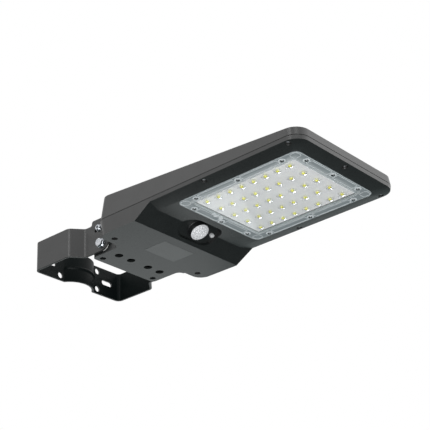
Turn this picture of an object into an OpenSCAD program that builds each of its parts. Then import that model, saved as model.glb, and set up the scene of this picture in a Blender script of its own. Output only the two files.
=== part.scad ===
// Solar street lamp head on a pole bracket.
// Origin: centre of the four clamp holes on the bracket's back face.
// +X runs from the pole towards the lamp, +Y to its left, +Z up.

/* [Housing] */
// Half width of the housing at the parting line
half_w = 97; // [95:1:99]
// X of the shoulder where the neck meets the wide housing
shoulder_x = 134.5; // [133:0.5:137]
// X of the front end of the housing
front_x = 452.6; // [450:0.2:456]
// Wall thickness of both mouldings
wall = 3; // [2.6:0.1:3.2]
// Radius of the rear corners in plan
rear_r = 15; // [12:1:18]
// Radius of the front corners in plan
front_r = 19; // [16:1:22]
// Height of the upper surface at the rear
top_rear_z = 31; // [30:0.5:33]
// Height of the upper surface at the front
top_front_z = 7; // [6.5:0.5:8]
// How far the walls lean in over the full height
draft = 3.2; // [2.6:0.2:3.6]

/* [Underside] */
// Height of the sharp lower edge of the head
rim_z = -7; // [-7.5:0.1:-6.8]
// Height of the flat face around the lens plate
face_z = -10; // [-10.5:0.1:-9.8]
// Height of the battery compartment's bottom face
bottom_z = -23; // [-24:0.5:-22.5]
// X where the sloping sensor face meets the bottom face
slope_low_x = 200; // [198:0.5:201]
// X where the sloping sensor face meets the rim
slope_top_x = 227; // [226:0.5:229]
// Half width of the flat face
flat_half_w = 76.5; // [76:0.5:78]

/* [Neck] */
// X of the neck's rear end
neck_x = 86.6; // [85:0.2:88]
// Half width of the neck between the bracket ears
neck_half_w = 56; // [55:0.1:56]
// Height of the neck's upper surface
neck_top_z = 21; // [20:0.5:24]

/* [Bracket] */
// Sheet thickness of the bracket
sheet = 3; // [2.5:0.5:3]
// Height of the bent strip
strip_h = 40; // [38:1:42]
// Half width over the straight arms
arm_half_w = 77.7; // [77:0.1:79]
// X where the arms start to bend inwards
jog_x = 64.2; // [62:0.1:66]
// X where the ears start
ear_x = 77.9; // [76:0.1:79]
// Inner face of each ear, measured from the centre
ear_in_y = 57.3; // [57.2:0.1:57.5]
// Radius of the pole that the saddle fits
pole_r = 30; // [30:1:30]
// Depth of the saddle behind the back face
saddle_depth = 13.5; // [13:0.5:14]

/* [Bracket holes] */
// Spacing of the clamp holes across the strip
clamp_y = 68; // [64:1:68]
// Spacing of the clamp holes up the strip
clamp_z = 26; // [24:1:26]
// Radius of the clamp holes
clamp_r = 4.25; // [4:0.05:4.5]
// Spacing of the two strap slots
slot_y = 104; // [103:1:106]
// End to end length of a strap slot
slot_len = 19; // [16:1:20]
// Half width of a strap slot
slot_r = 3.5; // [3:0.25:3.5]

/* [Tilt joint] */
// X of the pivot axis
pivot_x = 107.3; // [106:0.1:109]
// Z of the pivot axis
pivot_z = -10.2; // [-11:0.1:-10]
// Radius of the pivot bolt's shank
pivot_r = 3; // [3:0.5:4]
// Radius of the lock bolt's shank
lock_r = 2.5; // [2:0.5:3]
// Distance from the pivot to the lock bolt
lock_arm = 23.7; // [23:0.1:24]
// Angle of the lock bolt above the X axis at rest
lock_angle = 100.5; // [100:0.5:106]
// Tilt each way that the arc slot allows
tilt_range = 15; // [10:1:15]

/* [Light] */
// Length of the lens plate
plate_l = 182; // [180:1:184]
// Half width of the lens plate
plate_half_w = 75.7; // [75:0.1:76]
// X of the lens plate's centre
plate_x = 342; // [341:0.5:343]
// LEDs along the head
led_cols = 8; // [6:1:8]
// LEDs across the head
led_rows = 5; // [3:2:5]
// LED spacing along the head
led_px = 18; // [16:0.5:18]
// LED spacing across the head
led_py = 25.3; // [22:0.1:26]

/* [Sensor] */
// Diameter of the motion sensor's lens
pir_d = 24; // [20:1:24]
// Half length of the recess around the sensor
recess_half = 33; // [32:1:34]
// Radius of the recess ends
recess_r = 17.5; // [17:0.5:18]
// Depth of the recess below the sloping face
recess_d = 5; // [4:0.5:5]
// Radius of the mode button
button_r = 3; // [2.5:0.1:3]
// Sideways place of the mode button
button_y = 27; // [26:0.5:28]

/* [Solar panel] */
// Length of the panel's glass
panel_l = 294; // [280:1:296]
// Half width of the panel's glass
panel_half_w = 84.5; // [80:0.5:85]
// Glass thickness
glass_t = 3.2; // [2.5:0.1:3.2]

/* [Battery] */
// Cell diameter
cell_d = 32; // [26:1:32]
// Cell length
cell_l = 65; // [60:1:65]

/* [Hidden] */
$fn = 48;

eps = 0.01;
seam = 0.8;                               // gap at the parting line that the seal fills
part_z = -2;                              // middle of the parting line
low_top = part_z - seam / 2;
up_bottom = part_z + seam / 2;
floor_z = -4;                             // inner floor of the head
battery_floor_z = bottom_z + wall;
top_rear_x = shoulder_x + draft;
top_front_x = front_x - 1;
wedge = atan2(top_rear_z - top_front_z, top_front_x - top_rear_x);
recess_panel_z = -(glass_t + 1.1);        // panel pocket floor, from the upper surface
ceiling_t = 2.4;                          // plate left under the panel pocket

slope_run = slope_top_x - slope_low_x;
slope_rise = rim_z - bottom_z;
slope_a = atan2(slope_rise, slope_run);
sensor_s = 22.7;                          // sensor centre, measured up the slope
cup_t = 2.5;                              // floor thickness under the sensor recess
pir_h = 4.4;                              // lens face above the slope
board_h = -11;                            // sensor board's face below the slope

screw_y = 90.5;
case_screw_at = [[308.6, screw_y], [308.6, -screw_y], [433, screw_y], [433, -screw_y], [444.6, 0]];
case_head_z = -6.2;
well_at = [[147.6, 77], [147.6, -77], [95.4, 46], [95.4, -46]];
well_r = 4;
well_top_z = -9;
port_x = 115.9;
port_y = [-37.5, -15.7, 15.7, 37.5];
port_r = 5.5;
standoff_at = [[212, 52], [212, -52], [254, 52], [254, -52]];
board_z = 8;
spreader_l = 156;
spreader_half_w = 67.5;
spreader_step = 2.6;                      // block that carries the board below the plate
board_l = 152;
board_half_w = 61.3;
led_x = plate_x - 1;
plate_low_z = -11;
plate_t = 2;
board_face_z = -8.2;                      // front face of the LED board
pocket_z = -8;
spreader_screw_y = 64.5;
spreader_screw_at = [for (x = [-73, 73]) for (s = [1, -1]) [plate_x + x, s * spreader_screw_y]];

ear_out_y = ear_in_y + sheet;
ear_end_x = 120;
ear_top_z = 26.4;
ear_top_x = 89.6;
lock_x = pivot_x + lock_arm * cos(lock_angle);
lock_z = pivot_z + lock_arm * sin(lock_angle);
washer_y = ear_out_y + 0.3;

cell_x = [155, 188];
cell_z = -2;
label_l = 35;
label_w = 54;
label_x = 168.3;

// ---- shared shapes -------------------------------------------------------

// Rounded rectangle between two X values, with its own radius at each end
module plan_block(x0, x1, half, r0, r1) {
  union() {
    translate([x0 + r0, -half]) square([x1 - r1 - x0 - r0, 2 * half]);
    translate([x0, -half + r0]) square([r0, 2 * (half - r0)]);
    translate([x1 - r1, -half + r1]) square([r1, 2 * (half - r1)]);
    for (s = [-1, 1]) {
      translate([x0 + r0, s * (half - r0)]) circle(r0);
      translate([x1 - r1, s * (half - r1)]) circle(r1);
    }
  }
}

// Plan outline of the whole housing, moved inwards by an inset
module plan_outline(inset) {
  fillet = 8;
  plan_block(shoulder_x + inset, front_x - inset, half_w - inset,
             rear_r - inset, front_r - inset);
  plan_block(neck_x + inset, shoulder_x + 30, neck_half_w - inset, 5 - inset, 1);
  for (s = [-1, 1])
    difference() {
      corner_x = shoulder_x + inset;
      corner_y = s * (neck_half_w - inset);
      translate([corner_x - fillet, min(corner_y, corner_y + s * fillet)])
        square([fillet + wall, fillet]);
      translate([corner_x - fillet, corner_y + s * fillet]) circle(fillet);
    }
}

// Thin disc used as one corner of a hulled block
module corner(x, y, z, r) {
  translate([x, y, z]) cylinder(h = eps, r = r, $fn = 32);
}

// Four corner discs at one height
module corner_ring(x0, x1, half, z, r0, r1) {
  for (s = [-1, 1]) {
    corner(x0 + r0, s * (half - r0), z, r0);
    corner(x1 - r1, s * (half - r1), z, r1);
  }
}

// Wide part of the upper moulding; inset shrinks it and drop lowers its roof
module upper_block(inset, drop) {
  hull() {
    corner_ring(shoulder_x + inset, front_x - inset, half_w - inset, up_bottom,
                rear_r - inset, front_r - inset);
    for (s = [-1, 1]) {
      corner(top_rear_x + rear_r, s * (half_w - draft - rear_r),
             top_rear_z - drop - rear_r * tan(wedge), rear_r - inset);
      corner(top_front_x - front_r, s * (half_w - 1 - front_r),
             top_front_z - drop + front_r * tan(wedge), front_r - inset);
    }
  }
}

// Children in the frame of the upper surface: origin at its rear edge
module on_top() {
  translate([top_rear_x, 0, top_rear_z]) rotate([0, wedge, 0]) children();
}

// Children in the frame of the sensor face: X up the slope, Z outwards
module on_slope() {
  translate([slope_low_x, 0, bottom_z]) rotate([0, -slope_a, 0])
    translate([sensor_s, 0, 0]) mirror([0, 0, 1]) children();
}

// Obround plate lying across the slope
module obround(half, r, z0, z1) {
  translate([-r, -(half - r), z0]) cube([2 * r, 2 * (half - r), z1 - z0]);
  for (s = [-1, 1]) translate([0, s * (half - r), z0]) cylinder(h = z1 - z0, r = r);
}

// Children on both sides of the neck, with Z pointing outwards
module both_sides(x, z) {
  for (s = [-1, 1]) translate([x, 0, z]) rotate([-90 * s, 0, 0]) children();
}

module ring(r_out, r_in, h) {
  difference() {
    cylinder(h = h, r = r_out);
    translate([0, 0, -1]) cylinder(h = h + 2, r = r_in);
  }
}

// Slice of a sphere with a given base radius and height
module cap(base, h) {
  r = (base * base + h * h) / (2 * h);
  intersection() {
    translate([0, 0, h - r]) rotate([90, 0, 0]) sphere(r, $fn = 360);
    translate([-base - 1, -base - 1, 0]) cube([2 * base + 2, 2 * base + 2, h + 1]);
  }
}

// Screw standing on its head: head below, shank going up
module screw(head_r, head_h, shank_r, shank_l) {
  cylinder(h = head_h, r = head_r);
  translate([0, 0, head_h - eps]) cylinder(h = shank_l, r = shank_r);
}

// Point on a cubic curve through four control points
function bezier(c, t) =
  pow(1 - t, 3) * c[0] + 3 * pow(1 - t, 2) * t * c[1] + 3 * (1 - t) * t * t * c[2]
  + pow(t, 3) * c[3];
function bezier_dir(c, t) =
  let (d = pow(1 - t, 2) * (c[1] - c[0]) + 2 * (1 - t) * t * (c[2] - c[1]) + t * t * (c[3] - c[2]))
  d / norm(d);

// Eight-sided ring of points around a curve, square to its direction
function wire_ring(centre, dir, r) =
  let (side = cross(dir, [0.3, 0.2, 0.9]), u = side / norm(side), v = cross(dir, u))
  [for (k = [0 : 7]) centre + r * (cos(45 * k) * u + sin(45 * k) * v)];

// Insulated wire along one cubic curve
module wire(c, r) {
  steps = 16;
  rings = [for (i = [0 : steps]) wire_ring(bezier(c, i / steps), bezier_dir(c, i / steps), r)];
  points = [for (ring_points = rings) for (p = ring_points) p];
  sides = [for (i = [0 : steps - 1]) for (k = [0 : 7])
    [8 * i + k, 8 * i + (k + 1) % 8, 8 * i + 8 + (k + 1) % 8, 8 * i + 8 + k]];
  ends = [[for (k = [7 : -1 : 0]) k], [for (k = [0 : 7]) 8 * steps + k]];
  polyhedron(points, concat(sides, ends), convexity = 4);
}

// ---- bracket -------------------------------------------------------------

// Bent strip seen from above
module strip_plan() {
  centre_x = saddle_depth - pole_r;
  bend_r = 8;
  flat_y = arm_half_w - bend_r;
  // curved saddle
  intersection() {
    translate([centre_x, 0]) difference() {
      circle(pole_r + sheet, $fn = 96);
      circle(pole_r, $fn = 96);
    }
    translate([0, -pole_r]) square([pole_r, 2 * pole_r]);
  }
  for (s = [-1, 1]) {
    // flat wings of the cross plate
    y0 = sqrt(pole_r * pole_r - centre_x * centre_x);
    translate([0, min(s * y0, s * flat_y)]) square([sheet, flat_y - y0]);
    // rear bends
    translate([bend_r, s * flat_y]) intersection() {
      difference() {
        circle(bend_r);
        circle(bend_r - sheet);
      }
      translate([-bend_r, min(0, s * bend_r)]) square([bend_r, bend_r]);
    }
    // arms, inward jog and ears
    arm_in = arm_half_w - sheet;
    polygon([[bend_r, s * arm_half_w], [jog_x, s * arm_half_w], [ear_x, s * ear_out_y],
             [ear_end_x, s * ear_out_y], [ear_end_x, s * ear_in_y],
             [ear_x - 1.5, s * ear_in_y], [jog_x - 1.5, s * arm_in],
             [bend_r, s * arm_in]]);
  }
}

// What is cut from the strip to leave the ear's outline
module ear_trim() {
  foot_r = 15;
  top_r = 8;
  big = 60;
  low = -strip_h / 2;
  rotate([90, 0, 0]) translate([0, 0, -100]) linear_extrude(200) {
    // straight top edge of the strip
    translate([-20, strip_h / 2]) square([ear_top_x + 20, big]);
    translate([ear_top_x, ear_top_z]) square([big, big]);
    // rounded lower corner
    translate([ear_end_x - foot_r, low]) difference() {
      square([foot_r + 1, foot_r]);
      translate([0, foot_r]) circle(foot_r);
    }
    // rounded upper corner
    translate([ear_end_x - top_r, ear_top_z - top_r]) difference() {
      square([top_r + 1, top_r + 1]);
      circle(top_r);
    }
    translate([ear_top_x, ear_top_z - 3]) difference() {
      translate([-1, 0]) square([4, 4]);
      translate([3, 0]) circle(3);
    }
  }
}

// Arc slot for the lock bolts, through both ears
module lock_slot() {
  gap = 0.1;
  w = lock_r + gap;
  translate([pivot_x, 0, pivot_z]) rotate([90, 0, 0]) translate([0, 0, -100]) {
    rotate([0, 0, lock_angle - tilt_range]) rotate_extrude(angle = 2 * tilt_range, $fn = 96)
      translate([lock_arm - w, 0]) square([2 * w, 200]);
    for (a = [-tilt_range, tilt_range]) rotate([0, 0, lock_angle + a])
      translate([lock_arm, 0, 0]) cylinder(h = 200, r = w);
  }
}

module mount_bracket() color([0.20, 0.20, 0.21]) {
  difference() {
    translate([0, 0, -strip_h / 2]) linear_extrude(strip_h / 2 + ear_top_z) strip_plan();
    ear_trim();
    for (sy = [-1, 1]) {
      for (sz = [-1, 1]) translate([-5, sy * clamp_y / 2, sz * clamp_z / 2])
        rotate([0, 90, 0]) cylinder(h = 20, r = clamp_r);
      slot_half = slot_len / 2 - slot_r;
      translate([-5, sy * slot_y / 2 - slot_half, -slot_r]) cube([20, 2 * slot_half, 2 * slot_r]);
      for (e = [-1, 1]) translate([-5, sy * slot_y / 2 + e * slot_half, 0])
        rotate([0, 90, 0]) cylinder(h = 20, r = slot_r);
    }
    translate([pivot_x, 100, pivot_z]) rotate([90, 0, 0]) cylinder(h = 200, r = pivot_r + 0.06);
    lock_slot();
  }
  // pressed stiffening bead across the saddle
  bead_r = 1.6;
  intersection() {
    translate([saddle_depth - pole_r, 0, 0]) rotate_extrude($fn = 96)
      translate([pole_r + sheet, 0]) circle(bead_r, $fn = 24);
    translate([sheet + 1, -pole_r, -5]) cube([pole_r, 2 * pole_r, 10]);
  }
}

// ---- housing -------------------------------------------------------------

module neck_block(inset, z0, z1) {
  translate([0, 0, z0]) linear_extrude(z1 - z0)
    plan_block(neck_x + inset, shoulder_x + 20, neck_half_w - inset, 5 - inset, 1);
}

// Concave corners between the neck and the shoulders
module shoulder_fillets(z0, z1) {
  fillet = 8;
  translate([0, 0, z0]) linear_extrude(z1 - z0) for (s = [-1, 1])
    difference() {
      translate([shoulder_x - fillet, s > 0 ? neck_half_w - 1 : -neck_half_w - fillet])
        square([fillet + wall + 1, fillet + 1]);
      translate([shoulder_x - fillet, s * (neck_half_w + fillet)]) circle(fillet);
    }
}

module upper_housing() color([0.24, 0.24, 0.25]) {
  window = 40;
  boss_top = 3;
  difference() {
    union() {
      difference() {
        upper_block(0, 0);
        translate([0, 0, -1]) upper_block(wall, -recess_panel_z + ceiling_t - 1);
        translate([shoulder_x - 1, -window, up_bottom - 1]) cube([wall + 4, 2 * window, 15]);
      }
      difference() {
        union() {
          neck_block(0, up_bottom, neck_top_z);
          shoulder_fillets(up_bottom, neck_top_z);
        }
        neck_block(wall, up_bottom - 1, neck_top_z - wall);
        translate([shoulder_x + wall, -100, up_bottom - 1]) cube([40, 200, 40]);
      }
      for (p = case_screw_at) translate([p[0], p[1], up_bottom])
        cylinder(h = boss_top - up_bottom, r = 4.5);
      for (p = well_at) translate([p[0], p[1], up_bottom])
        cylinder(h = (p[0] < shoulder_x ? neck_top_z - 1 : 24) - up_bottom, r = 5);
      both_sides(lock_x, lock_z) translate([0, 0, 42]) cylinder(h = 13, r = 6.6);
    }
    on_top() translate([8, -panel_half_w - 1.5, recess_panel_z])
      cube([panel_l + 3, 2 * panel_half_w + 3, 20]);
    for (p = case_screw_at) translate([p[0], p[1], up_bottom - 1]) cylinder(h = 4.6, r = 1.5);
    for (p = well_at) translate([p[0], p[1], up_bottom - 1]) cylinder(h = 5.5, r = 1.5);
    both_sides(lock_x, lock_z) translate([0, 0, 41]) cylinder(h = 20, r = 4.2);
    // hole for the panel's leads
    on_top() translate([120, 0, -20]) cylinder(h = 20, r = 4);
  }
}

// Outer shape of the lower moulding
module lower_solid() {
  hull() {
    corner_ring(shoulder_x, front_x, half_w, low_top - eps, rear_r, front_r);
    corner_ring(shoulder_x + 0.7, front_x - 0.7, half_w - 0.7, rim_z, rear_r, front_r);
    corner_ring(shoulder_x + 20, plate_x + plate_l / 2 + 1, flat_half_w, face_z, 9, 9);
  }
  hull() {
    corner_ring(shoulder_x, slope_x(low_top), half_w, low_top - eps, rear_r, 0.5);
    corner_ring(shoulder_x + 2, slope_low_x, half_w - 1.5, bottom_z, rear_r, 0.5);
  }
  neck_block(0, bottom_z, low_top);
  shoulder_fillets(bottom_z, low_top);
}

// X of the sensor face at a given height
function slope_x(z) = slope_low_x + (z - bottom_z) * slope_run / slope_rise;

// Hollow inside the lower moulding
module lower_hollow() {
  inner_shift = wall / sin(slope_a);
  hull() {
    corner_ring(shoulder_x + wall, slope_x(low_top + 1) - inner_shift, half_w - wall,
                low_top + 1, rear_r - wall, 0.5);
    corner_ring(shoulder_x + wall + 2, slope_x(battery_floor_z) - inner_shift,
                half_w - wall - 1.5, battery_floor_z, rear_r - wall, 0.5);
  }
  translate([0, 0, floor_z]) linear_extrude(10)
    plan_block(slope_x(floor_z) - inner_shift - 4, front_x - wall, half_w - wall, 1, front_r - wall);
  neck_block(wall, battery_floor_z, low_top + 1);
}

module lower_housing() color([0.17, 0.18, 0.18]) {
  pocket_gap = 0.3;
  difference() {
    union() {
      difference() {
        lower_solid();
        lower_hollow();
      }
      // cup behind the sensor recess
      on_slope() obround(recess_half + 2.5, recess_r + 2.5, -recess_d - cup_t, 0);
      intersection() {
        on_slope() obround(recess_half + 2.5, recess_r + 2.5, -recess_d - cup_t, 12);
        translate([200, -60, face_z + 0.1]) cube([60, 120, 30]);
      }
      // screw wells, bosses and board standoffs
      for (p = well_at) translate([p[0], p[1], bottom_z + 1])
        cylinder(h = low_top - bottom_z - 1, r = 5.6);
      for (p = case_screw_at) translate([p[0], p[1], rim_z]) cylinder(h = low_top - rim_z, r = 5.2);
      for (p = standoff_at) translate([p[0], p[1], p[0] < slope_low_x + 20 ? -13 : face_z + 3])
        cylinder(h = board_z - (p[0] < slope_low_x + 20 ? -13 : face_z + 3), r = 3);
      both_sides(pivot_x, pivot_z) translate([0, 0, 42]) cylinder(h = 13, r = 7.6);
    }
    // lens plate pocket and light opening
    translate([0, 0, face_z - 5]) linear_extrude(pocket_z - face_z + 5)
      plan_block(plate_x - plate_l / 2 - pocket_gap, plate_x + plate_l / 2 + pocket_gap,
                 plate_half_w + pocket_gap, 9, 9);
    translate([plate_x - board_l / 2 - 1, -board_half_w - 1, -20])
      cube([board_l + 2, 2 * board_half_w + 2, 30]);
    lens_screw_places() translate([0, 0, -20]) cylinder(h = 30, r = 1.3);
    for (p = spreader_screw_at) translate([p[0], p[1], -6.5]) cylinder(h = 20, r = 1.2);
    // sensor recess, sensor window and button hole
    on_slope() obround(recess_half, recess_r, -recess_d, 25);
    on_slope() translate([0, 0, -12]) cylinder(h = 15, r = 5.4);
    on_slope() translate([0, button_y, -12]) cylinder(h = 15, r = button_r + 0.06);
    for (s = [-1, 1]) on_slope() translate([9.5, s * 14, -9]) cylinder(h = 3, r = 0.9);
    // screw wells from below
    for (p = well_at) {
      translate([p[0], p[1], bottom_z - 1]) cylinder(h = well_top_z - bottom_z + 1, r = well_r);
      translate([p[0], p[1], bottom_z]) cylinder(h = 40, r = 1.7);
    }
    for (p = case_screw_at) {
      translate([p[0], p[1], -15]) cylinder(h = 15 + case_head_z + 1.7, r = 3.7);
      translate([p[0], p[1], -15]) cylinder(h = 30, r = 1.7);
    }
    for (p = standoff_at) translate([p[0], p[1], board_z - 8]) cylinder(h = 9, r = 1.2);
    for (y = port_y) translate([port_x, y, bottom_z - 1]) cylinder(h = wall + 2, r = port_r);
    both_sides(pivot_x, pivot_z) translate([0, 0, 41]) cylinder(h = 20, r = 5.5);
    // shallow seat for the label
    translate([label_x - label_l / 2 - 0.2, -label_w / 2 - 0.2, bottom_z - 1])
      cube([label_l + 0.4, label_w + 0.4, 1.4]);
    // way through from the neck to the battery bay
    translate([shoulder_x - 1, -40, battery_floor_z]) cube([wall + 5, 80, 30]);
  }
}

module housing_seal() color([0.05, 0.05, 0.05])
  translate([0, 0, low_top]) linear_extrude(seam) difference() {
    plan_outline(0.6);
    plan_outline(wall - 0.2);
  }

module case_screws() color([0.75, 0.75, 0.77])
  for (p = case_screw_at) translate([p[0], p[1], case_head_z]) screw(2.9, 1.7, 1.45, 5.2);

module rear_case_screws() color([0.55, 0.55, 0.57])
  for (p = well_at) translate([p[0], p[1], well_top_z - 2.4]) screw(3.4, 2.4, 1.45, 9.5);

module label_plate() color([0.38, 0.40, 0.40])
  translate([label_x - label_l / 2, -label_w / 2, bottom_z - 0.15]) cube([label_l, label_w, 0.5]);

// ---- solar panel ---------------------------------------------------------

module solar_glass() color([0.08, 0.10, 0.16])
  on_top() translate([9.5, -panel_half_w, -glass_t - 0.1])
    cube([panel_l, 2 * panel_half_w, glass_t]);

module solar_cells() color([0.03, 0.05, 0.15]) {
  cols = 9;
  rows = 4;
  gap = 2;
  margin = 6;
  w = (panel_l - 2 * margin - (cols - 1) * gap) / cols;
  d = (2 * panel_half_w - 2 * margin - (rows - 1) * gap) / rows;
  on_top() for (i = [0 : cols - 1]) for (j = [0 : rows - 1])
    translate([9.5 + margin + i * (w + gap), -panel_half_w + margin + j * (d + gap),
               -glass_t - 0.5])
      cube([w, d, 0.35]);
}

module panel_backsheet() color([0.85, 0.85, 0.85])
  on_top() translate([9.5, -panel_half_w, recess_panel_z + 0.05])
    difference() {
      cube([panel_l, 2 * panel_half_w, 0.5]);
      translate([110.5, panel_half_w, -1]) cylinder(h = 3, r = 3);
    }

module panel_seal() color([0.06, 0.06, 0.06])
  on_top() translate([0, 0, recess_panel_z + 0.05]) difference() {
    translate([8.1, -panel_half_w - 1.4, 0])
      cube([panel_l + 2.8, 2 * panel_half_w + 2.8, glass_t]);
    translate([9.5, -panel_half_w, -1]) cube([panel_l, 2 * panel_half_w, 10]);
  }

// ---- light module --------------------------------------------------------

// Children at each of the twelve lens screws
module lens_screw_places() {
  for (x = [-65, 0, 65]) for (s = [-1, 1]) translate([plate_x + x, s * 69.3, 0]) children();
  for (y = [-50, 0, 50]) for (s = [-1, 1]) translate([plate_x + s * 85.3, y, 0]) children();
}

// Children at each LED
module led_places() {
  for (i = [0 : led_cols - 1]) for (j = [0 : led_rows - 1])
    translate([led_x + (i - (led_cols - 1) / 2) * led_px, (j - (led_rows - 1) / 2) * led_py, 0])
      children();
}

module lens_plate() color([0.85, 0.88, 0.90, 0.4]) {
  dome_r = 5;
  dome_h = 2;
  difference() {
    translate([0, 0, plate_low_z]) linear_extrude(plate_t)
      plan_block(plate_x - plate_l / 2, plate_x + plate_l / 2, plate_half_w, 9, 9);
    lens_screw_places() translate([0, 0, -20]) cylinder(h = 30, r = 1.6);
  }
  led_places() translate([0, 0, plate_low_z]) mirror([0, 0, 1]) cap(dome_r, dome_h);
}

module lens_gasket() color([0.85, 0.85, 0.84])
  translate([0, 0, plate_low_z + plate_t]) linear_extrude(pocket_z - plate_low_z - plate_t)
    difference() {
      plan_block(plate_x - 81, plate_x + 81, 65.5, 6, 6);
      plan_block(plate_x - 78, plate_x + 78, 62.5, 4, 4);
    }

module lens_screws() color([0.72, 0.72, 0.74])
  lens_screw_places() translate([0, 0, plate_low_z - 1.5]) screw(2.7, 1.5, 1.25, 6);

module led_board() color([0.93, 0.93, 0.92])
  translate([plate_x - board_l / 2, -board_half_w, board_face_z])
    cube([board_l, 2 * board_half_w, 1.6]);

module led_chips() color([0.98, 0.85, 0.30])
  led_places() translate([-1.75, -1.75, board_face_z - 0.7]) cube([3.5, 3.5, 0.7]);

module heat_spreader() color([0.78, 0.78, 0.80])
  difference() {
    union() {
      translate([plate_x - spreader_l / 2, -spreader_half_w, floor_z])
        cube([spreader_l, 2 * spreader_half_w, 2]);
      translate([plate_x - board_l / 2, -board_half_w, floor_z - spreader_step])
        cube([board_l, 2 * board_half_w, spreader_step]);
    }
    for (p = spreader_screw_at) translate([p[0], p[1], -10]) cylinder(h = 20, r = 1.6);
  }

module spreader_screws() color([0.7, 0.7, 0.72])
  for (p = spreader_screw_at) translate([p[0], p[1], floor_z + 3.4]) mirror([0, 0, 1])
    screw(2.6, 1.4, 1.15, 3.8);

// ---- sensor and button ---------------------------------------------------

module pir_bezel() color([0.08, 0.08, 0.08])
  on_slope() translate([0, 0, -recess_d]) {
    ring(pir_d / 2 + 1.3, pir_d / 2 - 1.5, recess_d + pir_h - 1.6);
    ring(pir_d / 2 + 2.4, pir_d / 2 - 1.5, 1.2);
  }

module pir_lens() color([0.93, 0.93, 0.93])
  on_slope() translate([0, 0, pir_h - 1.6]) {
    cylinder(h = 0.8, r = pir_d / 2);
    translate([0, 0, 0.8]) cap(pir_d / 2 - 0.4, 1.6);
  }

module pir_sensor() color([0.75, 0.75, 0.72])
  on_slope() translate([0, 0, board_h]) cylinder(h = 4.3, r = 4.6);

module sensor_board() color([0.10, 0.32, 0.18])
  on_slope() difference() {
    translate([-10.5, -18, board_h - 1.6]) cube([24, 52, 1.6]);
    for (s = [-1, 1]) translate([9.5, s * 14, board_h - 3]) cylinder(h = 5, r = 1.2);
  }

module sensor_screws() color([0.7, 0.7, 0.72])
  on_slope() for (s = [-1, 1]) translate([9.5, s * 14, board_h - 2.8]) screw(2, 1.2, 0.85, 5.4);

module button_switch() color([0.12, 0.12, 0.13])
  on_slope() translate([0, button_y, board_h]) {
    translate([-3, -3, 0]) cube([6, 6, 1.1]);
    cylinder(h = 1.6, r = 1.7);
  }

module mode_button() color([0.93, 0.93, 0.92])
  on_slope() translate([0, button_y, -recess_d - cup_t]) {
    translate([0, 0, -0.9]) cylinder(h = 0.6, r = button_r + 0.9);
    translate([0, 0, -0.5]) cylinder(h = 5.7, r = button_r);
    translate([0, 0, 5.2]) cap(button_r - 0.2, 1.3);
  }

// ---- power ---------------------------------------------------------------

// Children at each cell, with Z along the cell
module cell_places() {
  for (x = cell_x) for (s = [-1, 1])
    translate([x, s > 0 ? cell_l + 1.5 : -1.5, cell_z]) rotate([90, 0, 0]) children();
}

module battery_cells() color([0.15, 0.30, 0.60])
  cell_places() cylinder(h = cell_l, r = cell_d / 2);

module cell_tabs() color([0.75, 0.75, 0.72])
  for (y = [-cell_l - 1.5 - 0.3, cell_l + 1.5])
    translate([cell_x[0] - 5, y, cell_z - 4]) cube([cell_x[1] - cell_x[0] + 10, 0.3, 8]);

module battery_cradle() color([0.12, 0.12, 0.13])
  difference() {
    translate([cell_x[0] - 15.5, -66, battery_floor_z]) cube([58, 132, 11]);
    for (x = cell_x) translate([x, 100, cell_z]) rotate([90, 0, 0])
      cylinder(h = 200, r = cell_d / 2 + 0.1);
  }

module battery_pad() color([0.25, 0.25, 0.27])
  for (s = [-1, 1]) translate([cell_x[0] - 10, s > 0 ? 12 : -52, cell_z + cell_d / 2])
    cube([52, 40, 3.5]);

module control_board() color([0.08, 0.30, 0.16])
  difference() {
    translate([207, -57, board_z]) cube([52, 114, 1.6]);
    for (p = standoff_at) translate([p[0], p[1], board_z - 1]) cylinder(h = 4, r = 1.5);
  }

module board_parts() color([0.15, 0.15, 0.16]) translate([0, 0, board_z + 1.6]) {
  // choke, capacitors, power chip and two terminal blocks
  translate([226, 20, 0]) ring(7, 3, 4.5);
  for (y = [-5, 6]) translate([221, y, 0]) cylinder(h = 4.5, r = 4);
  translate([235, -4, 0]) cube([10, 10, 2]);
  for (y = [-40, -24]) translate([228, y, 0]) cube([9, 12, 4.5]);
  translate([210, 32, 0]) cube([8, 14, 4.5]);
}

module board_screws() color([0.7, 0.7, 0.72])
  for (p = standoff_at) translate([p[0], p[1], board_z + 3.1]) mirror([0, 0, 1])
    screw(2.6, 1.5, 1.15, 6);

module led_leads() color([0.75, 0.08, 0.06])
  for (i = [0, 1]) wire([[262.5, -20 - 4 * i, floor_z + 3], [262.5, -24 - 4 * i, 6],
                         [270, -33 - 4 * i, 15], [237.9, -35 - 4 * i, 11.5]], 0.9);

module battery_leads() color([0.75, 0.08, 0.06])
  for (i = [0, 1]) wire([[186 + 5 * i, 68.2, cell_z], [187 + 5 * i, 76, cell_z + 8],
                         [212 + 3 * i, 66, 22], [213 + 3 * i, 46.8, 11.5]], 0.9);

module panel_leads() color([0.10, 0.10, 0.10])
  for (i = [0, 1]) wire([[258.2 - 2.6 * i, 0, 17], [258.2 - 2.6 * i, -10, 12],
                         [250, -21.5 + 3 * i, 11], [237.9, -21.5 + 3 * i, 11.5]], 0.9);

// ---- tilt hardware -------------------------------------------------------

module pivot_bolts() color([0.78, 0.78, 0.80])
  both_sides(pivot_x, pivot_z) {
    translate([0, 0, washer_y + 2]) cylinder(h = 3.6, r = 5.8, $fn = 6);
    translate([0, 0, 43]) cylinder(h = washer_y + 2.1 - 43, r = pivot_r);
  }

module pivot_washers() color([0.80, 0.80, 0.82])
  both_sides(pivot_x, pivot_z) translate([0, 0, washer_y]) ring(6.6, pivot_r + 0.1, 1);

module pivot_spring_washers() color([0.70, 0.70, 0.72])
  both_sides(pivot_x, pivot_z) translate([0, 0, washer_y + 1]) difference() {
    ring(5.2, pivot_r + 0.1, 1);
    translate([0, -0.4, -1]) cube([10, 0.8, 4]);
  }

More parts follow.
